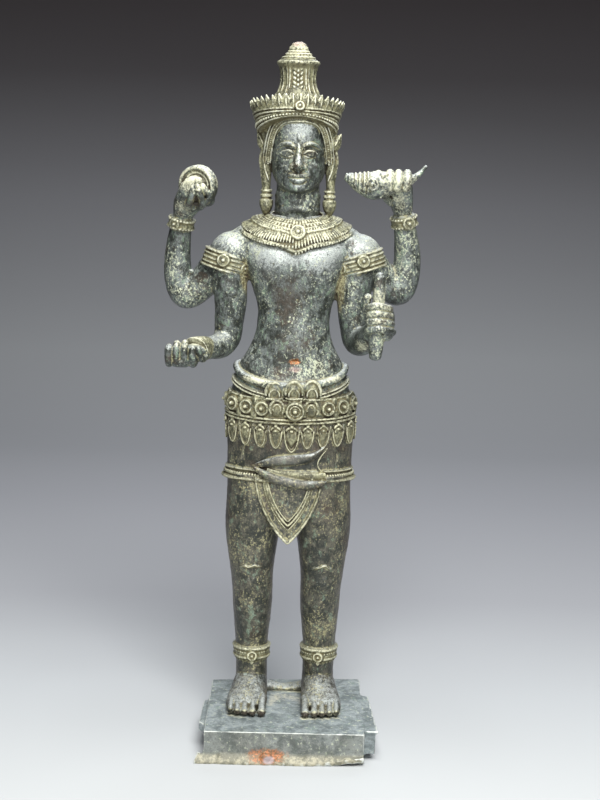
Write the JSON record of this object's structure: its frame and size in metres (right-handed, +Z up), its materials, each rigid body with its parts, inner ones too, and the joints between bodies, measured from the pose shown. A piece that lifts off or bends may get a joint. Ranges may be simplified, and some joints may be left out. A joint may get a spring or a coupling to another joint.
{
  "type": "vishnu figure",
  "caption": "Standing crowned figure with raised and lowered arms holding disc, conch and club, wrapped skirt and jewelled belt, cast in bronze on a low hollow box plinth.",
  "frame": {"origin": "under the middle of the bounding box, on the surface that the plinth stands on", "axes": "+X to the viewer's right, +Y away from the viewer, +Z up"},
  "size_m": [0.1402, 0.0904, 0.38],
  "materials": {
    "bronze": "old bronze with dark green patina, pale dirt in the hollows",
    "plinth_bronze": "old bronze with grey green patina, pale lip and a patch of rust"
  },
  "bodies": {
    "root": {"figure": "bronze", "plinth": "plinth_bronze"}
  },
  "joints": []
}
